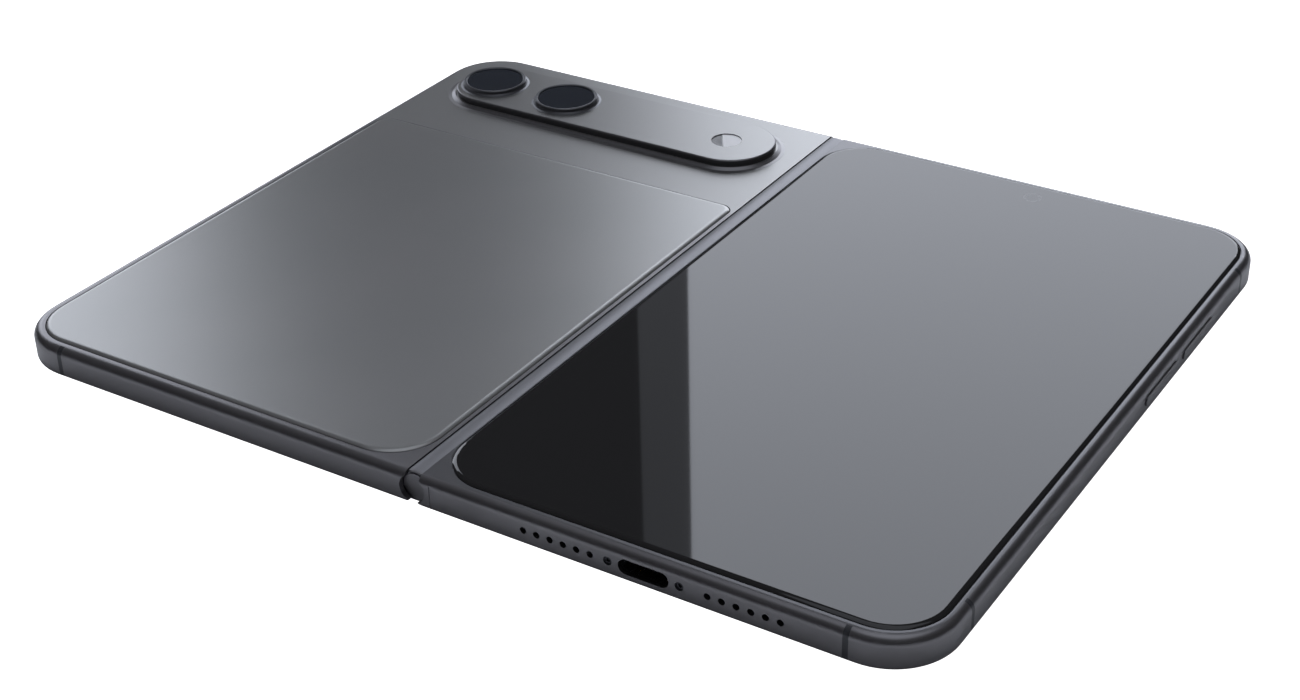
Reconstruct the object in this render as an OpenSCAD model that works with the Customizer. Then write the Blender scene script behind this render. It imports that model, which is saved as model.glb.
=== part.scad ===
// Foldable smartphone, lying open with its inner screen down.
// Millimetres. X runs across the fold, Y along it and Z up. The origin is the middle of the face it lies on.
// The half with the rear cameras is on -X and the half with the outer screen on +X.
// Each half turns about its own axis at the edge of the spine, and a train of four gears keeps them in step.

/* [Body] */
// Width of the phone lying open
open_w = 168; // [156:1:184]
// Height of the phone along the fold
body_h = 135; // [128:1:150]
// Thickness of each half, without the raised back panel
body_t = 5.5; // [5.4:0.1:6.4]
// Radius of the outer corners seen from above
corner_r = 10.7; // [8:0.1:13]
// Rounding along the frames' edges on the outer side
edge_r = 1.5; // [0.5:0.1:1.6]
// Rounding along the frames' edges on the inner screen's side
edge_low_r = 1.1; // [0.6:0.1:1.5]
// Width of the side walls of the frames
wall_w = 2.4; // [2:0.1:3]
// Thickness of the web across each frame
web_t = 0.7; // [0.5:0.05:1]
// Gap between neighbouring pieces that don't move
fit_gap = 0.05; // [0.02:0.01:0.1]
// Width of the curved edge of the back panel and the cover glass
curve_w = 0.8; // [0.5:0.05:1]
// How far that edge falls
curve_drop = 0.3; // [0.2:0.05:0.35]

/* [Inner screen] */
// Thickness of the folding display
display_t = 0.6; // [0.4:0.05:0.8]
// How far the display lies inside its soft border
display_drop = 0.15; // [0.05:0.05:0.3]
// Thickness of the plates behind the display
plate_t = 0.25; // [0.15:0.05:0.4]
// Width of the frame's edge outside the soft border
bezel_inset = 1.6; // [1.5:0.1:1.8]
// Width of the soft border
bezel_w = 1.35; // [1.35:0.05:2.2]

/* [Hinge] */
// Distance of each fold axis from the middle
axis_x = 2.55; // [2.45:0.05:2.7]
// Half of the gap between the closed halves
fold_gap = 0.05; // [0.03:0.01:0.1]
// Radius of the spine's round back
spine_r = 2.5; // [2.3:0.05:2.55]
// Wall of the spine's round back
spine_wall = 0.5; // [0.4:0.05:0.6]
// Running gap between the spine and the halves
spine_gap = 0.1; // [0.06:0.01:0.2]
// Depth of the spine's crown below the frames' faces
spine_sink = 0.1; // [0:0.05:0.2]
// Width of the slot in which the spine shows
slot_w = 2.7; // [2.4:0.1:3]
// How far the spine's ends lie inside the phone's edges
spine_end = 1; // [0.8:0.1:1.2]
// Thickness of each end cap of the spine
cap_t = 0.65; // [0.6:0.05:0.7]
// Width of the recessed step round each cap's face
cap_step = 0.35; // [0.2:0.05:0.6]
// Radius of the holes in the frames' ends through which the caps show
end_hole_r = 2.3; // [2.1:0.05:2.4]
// Width of the parting lines at the ends of the cover half
parting_w = 0.12; // [0.08:0.02:0.2]
// Radius of the hinge knuckles
knuckle_r = 0.9; // [0.8:0.05:0.95]
// Width of each wing's knuckle
knuckle_w = 2.4; // [2:0.1:4]
// Width of each bracket lug beside it
lug_w = 1.6; // [1.2:0.1:2]
// Radius of the hinge pins
pin_r = 0.35; // [0.25:0.05:0.45]
// Radial running clearance of the pins
pin_gap = 0.04; // [0.02:0.01:0.08]
// Side clearance between knuckles, lugs and gears
side_gap = 0.1; // [0.05:0.05:0.15]
// Distance of the inner hinge groups from the middle
group_y = 21; // [14:1:34]
// Length of the screwed part of each wing
wing_l = 15; // [12:1:20]
// Width of each wing from the fold axis
wing_w = 10; // [9:0.5:12]
// Thickness of the wings
wing_t = 0.4; // [0.3:0.05:0.5]
// Number of teeth on each gear
gear_teeth = 12; // [12:2:16]
// Thickness of the gears
gear_t = 0.7; // [0.5:0.05:0.7]
// Thickness of the plate that carries the idler gears inside
gear_plate_t = 0.4; // [0.3:0.05:0.4]

/* [Back panel and camera bar] */
// Thickness of the back panel
panel_t = 1; // [0.8:0.05:1.2]
// How far the back panel stands above its frame
panel_raise = 0.3; // [0.1:0.05:0.5]
// Width of the frame's rim beside the back panel
panel_inset = 2; // [1.7:0.05:2.2]
// Gap round the back panel
panel_gap = 0.15; // [0.1:0.01:0.2]
// Distance of the back panel's hinge side from the middle
panel_hinge_x = 2.2; // [2.1:0.05:2.6]
// Height of the back panel, from its rim towards the camera bar
panel_h = 96.5; // [90:0.5:98]
// Radius of the back panel's corners beside the camera bar
panel_far_r = 2.5; // [1.5:0.5:4]
// Length of the camera bar
bar_l = 71; // [69:0.5:72]
// Width of the camera bar
bar_w = 17.4; // [15:0.2:19]
// Height of the camera bar
bar_h = 1.7; // [1:0.1:2.5]
// Distance of the bar's outer end from the phone's side
bar_side = 6.4; // [5.6:0.1:7]
// Distance of the bar's middle from the phone's far edge
bar_far = 15.6; // [13.6:0.1:17]
// Width of the sloped shoulder round the bar
shoulder_w = 1.7; // [1.2:0.1:2.2]
// Height of the shoulder
shoulder_h = 0.5; // [0.3:0.05:0.6]
// Radius of the lens rings
lens_r = 6.2; // [5.5:0.1:6.6]
// Height of the lens rings
lens_h = 1; // [0.9:0.1:1.8]
// How far the lens rings flare at their foot
lens_flare = 0.7; // [0.3:0.1:0.9]
// Width of the lens rings' rims
lens_rim = 0.6; // [0.5:0.05:1]
// Distance of the first lens from the phone's side
lens_side = 14; // [13.8:0.1:15]
// Distance between the two lenses
lens_pitch = 17.25; // [15.5:0.05:19]
// Radius of the flash window
flash_r = 2.9; // [1.8:0.1:3.2]
// Distance of the flash from the bar's inner end
flash_end = 9.5; // [8.5:0.1:14]

/* [Outer screen] */
// Thickness of the cover glass
glass_t = 0.6; // [0.5:0.05:0.8]
// How far the cover glass stands above its frame
glass_raise = 0.3; // [0.2:0.05:0.35]
// Gap round the cover glass
glass_gap = 0.15; // [0.08:0.01:0.2]
// Width of the frame between glass and outer side
glass_side = 1.7; // [1.6:0.1:2.2]
// Width of the frame between glass and port edge
glass_near = 2; // [1.8:0.1:2.6]
// Distance of the glass's hinge side from the middle
glass_hinge_x = 1.7; // [1.6:0.1:2.2]
// Thickness of the outer display behind the glass
outer_display_t = 0.5; // [0.4:0.05:0.5]
// Distance of the front camera from the far edge
front_camera_far = 6.7; // [6:0.1:9]
// Distance of the front camera from the phone's side
front_camera_side = 41.35; // [40:0.05:43]

/* [Ports and buttons] */
// Width of the USB-C opening
usb_w = 8.34; // [8.3:0.02:8.4]
// Height of the USB-C opening
usb_h = 2.56; // [2.5:0.02:2.6]
// Height of the port's and the speaker holes' centres
port_z = 2.75; // [2.7:0.05:2.8]
// Distance of the port from the middle
port_x = 40.4; // [38:0.1:44]
// Number of holes in each speaker group
speaker_holes = 6; // [4:1:7]
// Distance between speaker holes
speaker_pitch = 2.29; // [2.1:0.01:2.5]
// Radius of the speaker holes
speaker_hole_r = 0.55; // [0.4:0.05:0.7]
// Distance from the port to the middle of the hinge-side group
speaker_left = 14.6; // [13:0.1:16]
// Distance from the port to the middle of the outer group
speaker_right = 16.1; // [15:0.1:18]
// Distance of the bottom screws from the port
screw_x = 5.9; // [5.8:0.1:6.5]
// Width of the antenna bands
band_w = 0.9; // [0.6:0.1:1.5]
// Distance of the antenna bands from the rounded sides
band_side = 12; // [11.5:0.1:16]
// Length of each side button
button_l = 13.6; // [10:0.2:15]
// Height of each side button
button_h = 1.8; // [1.4:0.1:2]
// How far the buttons stand out
button_out = 0.25; // [0.2:0.05:0.5]
// Travel of the buttons
button_travel = 0.25; // [0.15:0.05:0.3]
// Place of the volume button's middle along the side
volume_y = 32.8; // [26:0.2:38]
// Place of the side button's middle along the side
power_y = 16.4; // [5:0.2:17]

/* [Hidden] */
$fn = 64;

metal = "#5c5e63";
dark_metal = "#3a3b3f";
steel = "#8d9096";
black = "#17181a";
board_green = "#1f3d31";
past = 1;                                   // how far a cut runs past a face
half_w = open_w / 2;
half_h = body_h / 2;

// Heights of the layers
display_z1 = display_drop + display_t;
web_z0 = display_z1 + plate_t;
web_z1 = web_z0 + web_t;
glass_z0 = body_t + glass_raise - glass_t;
panel_z0 = body_t + panel_raise - panel_t;
bar_z1 = body_t + bar_h;
lens_z1 = bar_z1 + lens_h;
outer_display_z0 = glass_z0 - outer_display_t;

// The hinge, in section
axis_z = axis_x - fold_gap;
spine_z = body_t - spine_sink - spine_r;
relief_r = spine_r + spine_gap;
cove_x = axis_x - (spine_z - axis_z);       // where the spine comes to lie when a half is folded
cove_z = axis_z - axis_x;
channel_r = knuckle_r + 0.15;               // channel round each fold axis, in the frames
end_wall_y = half_h - spine_end + side_gap;  // inner face of the frames' end walls at the hinge
end_wall_r = axis_x - fold_gap;             // rounding of those walls below the fold axis
cove_edge = cove_x + sqrt(pow(relief_r, 2) - pow(web_z0 - cove_z, 2));
fold_x = cove_x + relief_r + 0.15;          // where the folding strip meets the flat display
spine_floor_z = axis_z + knuckle_r + 0.1;   // lowest edge of the spine's round back
rail_w = 4.2;                               // from the fold axis to the frames' inner cavity
cavity_x0 = axis_x + rail_w;
display_half_h = half_h - bezel_inset - bezel_w - fit_gap;

// The gear train at each end of the spine
gear_pitch_r = axis_x / 3;
gear_module = 2 * gear_pitch_r / gear_teeth;
gear_outer_r = gear_pitch_r + 0.8 * gear_module;
gear_root_r = gear_pitch_r - 1.1 * gear_module;
gear_base_r = gear_pitch_r * cos(20);
gear_play = 1.2;                            // degrees taken off each flank
idler_pin_r = pin_r - 0.05;
cap_y = half_h - spine_end - cap_t;
gear_y = cap_y - side_gap - gear_t;
gear_plate_y = gear_y - side_gap - gear_plate_t;
group_l = knuckle_w + 2 * (side_gap + lug_w);
end_group_y = gear_plate_y - group_l / 2;
groups = [-end_group_y, -group_y, group_y, end_group_y];

bar_y = half_h - bar_far;
bar_x0 = half_w - bar_side;
flash_x = bar_x0 - bar_l + flash_end;
lens_x = [half_w - lens_side, half_w - lens_side - lens_pitch];
lens_bore_r = lens_r - lens_rim;
lens_seat = 0.6;                            // step of the rings inside the bar's openings
lens_glass_t = 0.55;
lens_glass_z = lens_z1 - 0.25 - lens_glass_t;
front_camera_x = half_w - front_camera_side;
panel_far_y = -half_h + panel_inset + panel_h;
ledge_w = 1.2;                              // the panel and the glass lie on a ledge of this width
ledge_t = 0.5;
wing_screws = [-wing_l / 3, wing_l / 3];
wing_screw_x = axis_x + wing_w - 2.2;
wing_screw_r = 0.5;
wing_head_r = 0.95;
wing_head_h = 0.4;
inner_x0 = wing_screw_x + wing_head_r + 0.45;  // hinge side of the large pieces inside

// Where the large pieces inside begin and end
inner_x1 = half_w - wall_w;
inner_y0 = -half_h + wall_w;
inner_y1 = half_h - wall_w;
cell_side = 3;                              // batteries stay this far from the walls
cell_side_buttons = 5;                      // and this far beside the buttons
camera_cell_y1 = 2;
main_board_y0 = camera_cell_y1 + 4;
shield_inset = 3;
shield_outer = 20;
coil_r = 21;
coil_hole_r = 11;
coil_t = 0.4;
speaker_depth = 12;                         // from the port edge's wall
port_board_y0 = inner_y0 + speaker_depth + 1;
port_board_y1 = port_board_y0 + 7.5;
radio_board_y0 = inner_y1 - 21;
board_gap = 1;                              // between the boards and the battery
crown_r = 6;
crown_z = body_t - 0.03;
crown_gap = 0.08;
cap_foot_x = 1.9;                           // the caps' feet close the gap under the spine's ends
cap_foot_z = 0.2;

// Middle of a wing's plate; the end plates reach inward only
function wing_y(y) = abs(y) > group_y + 1 ? y - sign(y) * (wing_l - group_l) / 2 : y;

// ---- shapes shared by many pieces ----

// Section of a slab's edge: the outer side lies at x = r. The top edge is rounded by top, or falls by drop
// along a flatter curve as wide as top
module edge_section(r, z0, z1, top, bottom, drop) {
    fall = drop > 0 ? drop : top;
    translate([0, z0 + bottom]) square([r, z1 - z0 - fall - bottom]);
    if (top > 0) {
        translate([0, z1 - 2 * fall]) square([r - top, 2 * fall]);
        if (drop > 0)
            intersection() {
                arc_r = (top * top + drop * drop) / (2 * drop);
                translate([(r - top) / 2, z1 - 1.5 * drop]) square([(r + top) / 2, 2 * drop]);
                translate([r - top, z1 - arc_r]) circle(arc_r);
            }
        else
            translate([r - top, z1 - top]) circle(top);
    }
    if (bottom > 0) {
        translate([0, z0]) square([r - bottom, 2 * bottom]);
        translate([r - bottom, z0 + bottom]) circle(bottom);
    }
}

// Flat slab with round corners in plan and rounded top and bottom edges
module slab(x0, x1, y0, y1, r, z0, z1, top = 0, bottom = 0, drop = 0) {
    lx = x1 - x0 - 2 * r;
    ly = y1 - y0 - 2 * r;
    for (c = [[x1 - r, y1 - r, 0], [x0 + r, y1 - r, 90], [x0 + r, y0 + r, 180], [x1 - r, y0 + r, 270]])
        translate([c[0], c[1], 0]) rotate(c[2]) rotate_extrude(angle = 90)
            edge_section(r, z0, z1, top, bottom, drop);
    if (lx > 0)
        for (s = [0, 1])
            translate([x0 + r + s * lx, s ? y0 + r : y1 - r, 0]) rotate([90, 0, s ? 270 : 90])
                linear_extrude(lx) edge_section(r, z0, z1, top, bottom, drop);
    if (ly > 0)
        for (s = [0, 1])
            translate([s ? x0 + r : x1 - r, s ? y0 + r : y1 - r, 0]) rotate([90, 0, s ? 180 : 0])
                linear_extrude(ly) edge_section(r, z0, z1, top, bottom, drop);
    if (lx > 0 && ly > 0)
        translate([x0 + r, y0 + r, z0]) cube([lx, ly, z1 - z0]);
}

// Plain prism with round corners in plan
module plate(x0, x1, y0, y1, r, z0, z1) {
    translate([0, 0, z0]) linear_extrude(z1 - z0) {
        translate([x0 + r, y0]) square([x1 - x0 - 2 * r, y1 - y0]);
        translate([x0, y0 + r]) square([x1 - x0, y1 - y0 - 2 * r]);
        for (x = [x0 + r, x1 - r], y = [y0 + r, y1 - r]) translate([x, y]) circle(r);
    }
}

module box(x0, x1, y0, y1, z0, z1) {
    translate([x0, y0, z0]) cube([x1 - x0, y1 - y0, z1 - z0]);
}

// A length along Y of a shape drawn in X and Z
module along_y(y0, y1) {
    translate([0, y1, 0]) rotate([90, 0, 0]) linear_extrude(y1 - y0) children();
}

// A stadium drawn round the origin, w long and h high
module stadium(w, h) {
    square([w - h, h], center = true);
    for (s = [-1, 1]) translate([s * (w - h) / 2, 0]) circle(h / 2);
}

module camera_side() {
    mirror([1, 0, 0]) children();
}

// ---- frames, drawn for the +X half ----

module half_blank() {
    slab(-2 * corner_r, half_w, -half_h, half_h, corner_r, 0, body_t, edge_r, edge_low_r);
}

// What the spine, the knuckles and the other half need at the hinge edge, in section
module hinge_relief() {
    translate([0, spine_z]) circle(relief_r);
    translate([cove_x, cove_z]) circle(relief_r);
    translate([axis_x, axis_z]) circle(channel_r);
    translate([-3 * corner_r, -past]) square([3 * corner_r + axis_x, axis_z + past]);
    slot_relief(-past);
}

module slot_relief(z0) {
    translate([-3 * corner_r, z0]) square([3 * corner_r + slot_w / 2, body_t + past - z0]);
}

// Room for the foot of an end cap when a half is folded
module foot_relief() {
    translate([axis_x - past, -past]) square([axis_z - cap_foot_z + fit_gap + past, cap_foot_x + 2 * fit_gap + past]);
}

// The same in the end walls, which close the hinge's near and far ends beside the spine
module end_relief() {
    translate([0, spine_z]) circle(end_hole_r);
    slot_relief(spine_z);
    translate([-3 * corner_r, -past]) square([3 * corner_r + fold_gap, body_t + 2 * past]);
    difference() {
        translate([-3 * corner_r, -past]) square([3 * corner_r + axis_x, axis_z + past]);
        translate([axis_x, axis_z]) circle(end_wall_r);
    }
}

module wing_pockets() {
    for (y = groups) {
        box(cavity_x0 - 3, axis_x + wing_w + fit_gap, wing_y(y) - wing_l / 2 - fit_gap,
            wing_y(y) + wing_l / 2 + fit_gap, -past, web_z0 + wing_t);
        box(axis_x, cavity_x0 - 1, y - knuckle_w / 2 - side_gap, y + knuckle_w / 2 + side_gap,
            -past, axis_z + 0.7);
        for (s = wing_screws)
            translate([wing_screw_x, wing_y(y) + s, 0]) cylinder(r = wing_screw_r, h = web_z1 + past);
    }
}

module half_frame() {
    difference() {
        half_blank();
        along_y(-end_wall_y, end_wall_y) hinge_relief();
        for (s = [0, 1]) mirror([0, s, 0]) {
            along_y(end_wall_y - past, half_h + past) end_relief();
            along_y(cap_y - side_gap, end_wall_y) foot_relief();
        }
        plate(-2 * corner_r, half_w - bezel_inset, -half_h + bezel_inset, half_h - bezel_inset,
              corner_r - bezel_inset, -past, web_z0);
        wing_pockets();
        children();
    }
}

// Boxes of the antenna bands, cut out of the outer face of a frame
module band_boxes() {
    depth = wall_w / 2;
    for (s = [-1, 1]) {
        box(half_w - band_side - band_w / 2, half_w - band_side + band_w / 2,
            s > 0 ? half_h - depth : -half_h - past, s > 0 ? half_h + past : -half_h + depth,
            -past, body_t + past);
        box(half_w - depth, half_w + past,
            s * (half_h - band_side - 2) - band_w / 2, s * (half_h - band_side - 2) + band_w / 2,
            -past, body_t + past);
    }
}

module cavity(y0, y1, z1) {
    plate(2 * cavity_x0, inner_x1, y0, y1, corner_r - wall_w, web_z1, z1);
    plate(cavity_x0, half_w / 2, y0, y1, 1, web_z1, z1);
}

// ---- the half with the rear cameras ----

// The back panel's outline, grown by g, between two heights
module panel_shape(g, z0, z1, top = 0, drop = 0) {
    x0 = panel_hinge_x - g;
    x1 = half_w - panel_inset - panel_gap + g;
    y0 = -half_h + panel_inset + panel_gap - g;
    near_r = corner_r - panel_inset - panel_gap + g;
    slab(x0, x1, y0, 0, near_r, z0, z1, top, 0, drop);
    slab(x0, x1, -2 * corner_r, panel_far_y + g, panel_far_r, z0, z1, top, 0, drop);
}

module camera_frame_solid() {
    half_frame() {
        panel_shape(panel_gap, panel_z0, body_t + past);
        cavity(inner_y0, inner_y1, panel_z0 - ledge_t);
        panel_shape(-ledge_w, panel_z0 - ledge_t - fit_gap, body_t);
        cavity(panel_far_y + ledge_w, inner_y1, body_t - 0.8);
        for (x = lens_x) translate([x, bar_y, web_z1]) cylinder(r = lens_bore_r - lens_seat, h = body_t);
        translate([flash_x, bar_y, web_z1]) cylinder(r = flash_r, h = body_t);
    }
}

module camera_frame() {
    color(metal) camera_side() difference() {
        camera_frame_solid();
        band_boxes();
    }
}

module camera_antenna_bands() {
    color(dark_metal) camera_side() intersection() {
        camera_frame_solid();
        band_boxes();
    }
}

module back_panel() {
    color("#808389") camera_side() panel_shape(0, panel_z0, body_t + panel_raise, curve_w, curve_drop);
}

// Section of half the shoulder round the bar, from the bar's middle line outward
module shoulder_section() {
    foot = [shoulder_w - 0.7, 0.12];
    polygon([
        [0, 0], [bar_w / 2 + shoulder_w, 0], [bar_w / 2 + foot[0], foot[1]],
        [bar_w / 2 + 0.3, shoulder_h], [0, shoulder_h]
    ]);
}

module shoulder() {
    end_r = bar_w / 2;
    for (s = [0, 1])
        translate([s ? bar_x0 - bar_l + end_r : bar_x0 - end_r, bar_y, body_t]) rotate(s ? 90 : -90)
            rotate_extrude(angle = 180) shoulder_section();
    translate([bar_x0 - bar_l + end_r, bar_y, body_t]) rotate([90, 0, 90])
        linear_extrude(bar_l - 2 * end_r) {
            shoulder_section();
            mirror([1, 0]) shoulder_section();
        }
}

module camera_bar() {
    color("#7c7f85") camera_side() difference() {
        union() {
            slab(bar_x0 - bar_l, bar_x0, bar_y - bar_w / 2, bar_y + bar_w / 2, bar_w / 2,
                 body_t, bar_z1, 0.4);
            shoulder();
        }
        for (x = lens_x) {
            translate([x, bar_y, body_t - past]) cylinder(r = lens_bore_r - lens_seat, h = bar_h + 2 * past);
            translate([x, bar_y, bar_z1 - 0.5]) cylinder(r = lens_r - 0.2, h = past);
        }
        translate([flash_x, bar_y, body_t - past]) cylinder(r = flash_r, h = bar_h + 2 * past);
    }
}

module lens_rings() {
    bevel = 0.15;
    color(steel) camera_side() for (x = lens_x) translate([x, bar_y, 0]) rotate_extrude() {
        polygon([
            [lens_bore_r, bar_z1], [lens_r + lens_flare, bar_z1], [lens_r + lens_flare * 0.45, bar_z1 + 0.12],
            [lens_r + lens_flare * 0.15, bar_z1 + 0.35], [lens_r, lens_z1 - bevel],
            [lens_r - bevel, lens_z1], [lens_bore_r + bevel, lens_z1], [lens_bore_r, lens_z1 - bevel]
        ]);
        translate([lens_bore_r - lens_seat, bar_z1 - 0.5])
            square([lens_r - 0.2 - lens_bore_r + lens_seat - fit_gap, 0.5]);
    }
}

module lens_glasses() {
    color(black, 0.9) camera_side() for (x = lens_x)
        translate([x, bar_y, lens_glass_z]) cylinder(r = lens_bore_r - fit_gap, h = lens_glass_t);
}

module camera_modules() {
    barrel_r = lens_bore_r - lens_seat - fit_gap;
    color(black) camera_side() for (x = lens_x) {
        plate(x - 7, x + 7, bar_y - 7, bar_y + 7, 1, web_z1, body_t - 0.8);
        translate([x, bar_y, body_t - 1]) cylinder(r = barrel_r, h = bar_z1 - 0.2 - body_t + 1);
        translate([x, bar_y, bar_z1 - 0.3])
            cylinder(r1 = barrel_r - 0.6, r2 = barrel_r - 1.6, h = lens_glass_z - fit_gap - bar_z1 + 0.3);
    }
}

module flash_window() {
    color("#d8dade") camera_side() translate([flash_x, bar_y, bar_z1 - 0.7])
        cylinder(r = flash_r - fit_gap, h = 0.55);
}

module flash_lamp() {
    color("#e6dfa0") camera_side() {
        plate(flash_x - 2.5, flash_x + 2.5, bar_y - 2.5, bar_y + 2.5, 0.5, web_z1, body_t - 0.8);
        translate([flash_x, bar_y, body_t - 1]) cylinder(r = flash_r - 0.6, h = bar_z1 - 0.7 - body_t + 1);
    }
}

module camera_battery() {
    color(black) camera_side() slab(inner_x0, inner_x1 - cell_side, inner_y0 + cell_side, camera_cell_y1,
                                    2, web_z1, panel_z0 - coil_t - 0.15, 0.5, 0.3);
}

module main_board() {
    color(board_green) camera_side()
        plate(inner_x0, inner_x1 - 2, main_board_y0, bar_y - bar_w / 2 - 2.5, 1.5, web_z1, web_z1 + 0.7);
}

module board_shield() {
    color(steel) camera_side()
        plate(inner_x0 + shield_inset, inner_x1 - shield_outer, main_board_y0 + shield_inset,
              panel_far_y - shield_inset, 1, web_z1 + 0.7, panel_z0 - 0.4);
}

module charging_coil() {
    coil_y = (inner_y0 + cell_side + camera_cell_y1) / 2;
    color("#b06a3c") camera_side() translate([(cavity_x0 + inner_x1) / 2, coil_y, panel_z0 - coil_t])
        difference() {
            cylinder(r = coil_r, h = coil_t);
            translate([0, 0, -past]) cylinder(r = coil_hole_r, h = coil_t + 2 * past);
        }
}

// ---- screen pieces that both halves have, drawn for +X ----

module flat_display() {
    color(black) difference() {
        plate(-2 * corner_r, half_w - bezel_inset - bezel_w - fit_gap, -display_half_h, display_half_h,
              corner_r - bezel_inset - bezel_w - fit_gap, display_drop, display_z1);
        box(-3 * corner_r, fold_x, -half_h, half_h, -past, body_t);
    }
}

module display_plate() {
    color(steel) difference() {
        plate(-2 * corner_r, half_w - bezel_inset - fit_gap, -half_h + bezel_inset + fit_gap,
              half_h - bezel_inset - fit_gap, corner_r - bezel_inset - fit_gap, display_z1, web_z0);
        box(-3 * corner_r, fold_x, -half_h, half_h, -past, body_t);
    }
}

module display_border() {
    color(black) difference() {
        plate(-2 * corner_r, half_w - bezel_inset - fit_gap, -half_h + bezel_inset + fit_gap,
              half_h - bezel_inset - fit_gap, corner_r - bezel_inset - fit_gap, 0, display_z1);
        plate(-2 * corner_r, half_w - bezel_inset - bezel_w, -display_half_h - fit_gap,
              display_half_h + fit_gap, corner_r - bezel_inset - bezel_w, -past, body_t);
        box(-3 * corner_r, fold_x, -half_h, half_h, -past, body_t);
    }
}

module camera_display() {
    camera_side() flat_display();
}

module camera_plate() {
    camera_side() display_plate();
}

module camera_bezel() {
    camera_side() display_border();
}

// ---- the hinge ----

// A wing in plan and section: a plate screwed under the web, with an arm up to the fold axis
module wings() {
    color(steel) for (y = groups) difference() {
        union() {
            box(cove_edge + 0.3, axis_x + wing_w, wing_y(y) - wing_l / 2, wing_y(y) + wing_l / 2,
                web_z0, web_z0 + wing_t);
            along_y(y - knuckle_w / 2, y + knuckle_w / 2) {
                difference() {
                    translate([axis_x, web_z0]) square([cavity_x0 - 1 - fit_gap - axis_x, axis_z + 0.6 - web_z0]);
                    translate([cove_x, cove_z]) circle(relief_r);
                    translate([0, spine_z]) circle(relief_r);
                }
                translate([axis_x, axis_z]) circle(knuckle_r);
            }
        }
        translate([axis_x, y - wing_l, axis_z]) rotate([-90, 0, 0]) cylinder(r = pin_r, h = 2 * wing_l);
        for (s = wing_screws)
            translate([wing_screw_x, wing_y(y) + s, 0]) cylinder(r = wing_screw_r, h = web_z1 + past);
    }
}

// One pin through each hinge group; the outer ones go on to carry the end gears
module pins() {
    color(steel) for (y = groups) {
        at_end = abs(y) > group_y + 1;
        y0 = y < 0 && at_end ? -gear_y - gear_t : y - group_l / 2;
        y1 = y > 0 && at_end ? gear_y + gear_t : y + group_l / 2;
        translate([axis_x, y0, axis_z]) rotate([-90, 0, 0]) cylinder(r = pin_r, h = y1 - y0);
    }
}

module wing_screws_set() {
    color(dark_metal) for (y = groups, s = wing_screws)
        translate([wing_screw_x, wing_y(y) + s, 0]) {
            translate([0, 0, web_z0]) cylinder(r = wing_screw_r, h = web_z1 - web_z0 + wing_head_h);
            translate([0, 0, web_z1]) cylinder(r = wing_head_r, h = wing_head_h);
        }
}

// Involute tooth: the half angle that the tooth takes at a radius
function roll(r) = r <= gear_base_r ? 0 : tan(acos(gear_base_r / r)) * 180 / PI - acos(gear_base_r / r);
function tooth_half(r) = 90 / gear_teeth - gear_play + roll(gear_pitch_r) - roll(r);
function gear_point(r, a) = [r * cos(a), r * sin(a)];

flank_steps = 3;
flank_r = [for (k = [0:flank_steps])
    max(gear_root_r, gear_base_r) + k * (gear_outer_r - max(gear_root_r, gear_base_r)) / flank_steps];

module gear_outline(turn) {
    polygon([for (t = [0:gear_teeth - 1]) let (a = turn + t * 360 / gear_teeth) each concat(
        [gear_point(gear_root_r, a - tooth_half(gear_base_r) - 1)],
        [for (r = flank_r) gear_point(r, a - tooth_half(r))],
        [for (k = [flank_steps:-1:0]) gear_point(flank_r[k], a + tooth_half(flank_r[k]))],
        [gear_point(gear_root_r, a + tooth_half(gear_base_r) + 1)]
    )]);
}

// A pair of gears, one at each end of the spine, with a bore or a pin through the middle
module gear_pair(x, turn, bore) {
    color("#a58f5a") for (s = [0, 1]) mirror([0, s, 0]) difference() {
        union() {
            translate([x, 0, axis_z]) along_y(gear_y, gear_y + gear_t) gear_outline(turn);
            if (bore == 0)
                translate([x, gear_plate_y + 0.02, axis_z]) rotate([-90, 0, 0])
                    cylinder(r = idler_pin_r, h = cap_y + 0.35 - gear_plate_y - 0.02);
        }
        if (bore > 0)
            translate([x, gear_y - past, axis_z]) rotate([-90, 0, 0]) cylinder(r = bore, h = gear_t + 2 * past);
    }
}

module camera_wings() {
    camera_side() wings();
}

module camera_gears() {
    gear_pair(-axis_x, 0, pin_r);
}

module camera_pins() {
    camera_side() pins();
}

module camera_wing_screws() {
    camera_side() wing_screws_set();
}

module camera_idlers() {
    gear_pair(-gear_pitch_r, 180 / gear_teeth, 0);
}

module cover_idlers() {
    gear_pair(gear_pitch_r, 0, 0);
}

// Round back of the spine, in section, with a flatter crown filling the slot
module spine_section() {
    translate([0, spine_z]) circle(spine_r);
    intersection() {
        translate([0, crown_z - crown_r]) circle(crown_r);
        translate([-slot_w / 2 + crown_gap, spine_z + 1.5]) square([slot_w - 2 * crown_gap, spine_r]);
    }
}

module spine_cover() {
    color("#6d7076") along_y(-cap_y, cap_y) difference() {
        spine_section();
        translate([0, spine_z]) circle(spine_r - spine_wall);
        translate([-2 * spine_r, -past]) square([4 * spine_r, spine_floor_z + past]);
    }
}

// Each end cap is a disc with a short foot, and a smaller disc standing on it
module spine_end_caps() {
    color(metal) for (s = [0, 1]) mirror([0, s, 0]) difference() {
        union() {
            along_y(cap_y, cap_y + cap_t - 0.2) {
                spine_section();
                translate([-cap_foot_x, cap_foot_z]) square([2 * cap_foot_x, spine_z - 1.6 - cap_foot_z]);
            }
            along_y(cap_y, cap_y + cap_t) translate([0, spine_z]) circle(spine_r - cap_step);
        }
        for (x = [-gear_pitch_r, gear_pitch_r])
            translate([x, cap_y - past, axis_z]) rotate([-90, 0, 0])
                cylinder(r = idler_pin_r + pin_gap, h = past + 0.4);
    }
}

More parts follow.
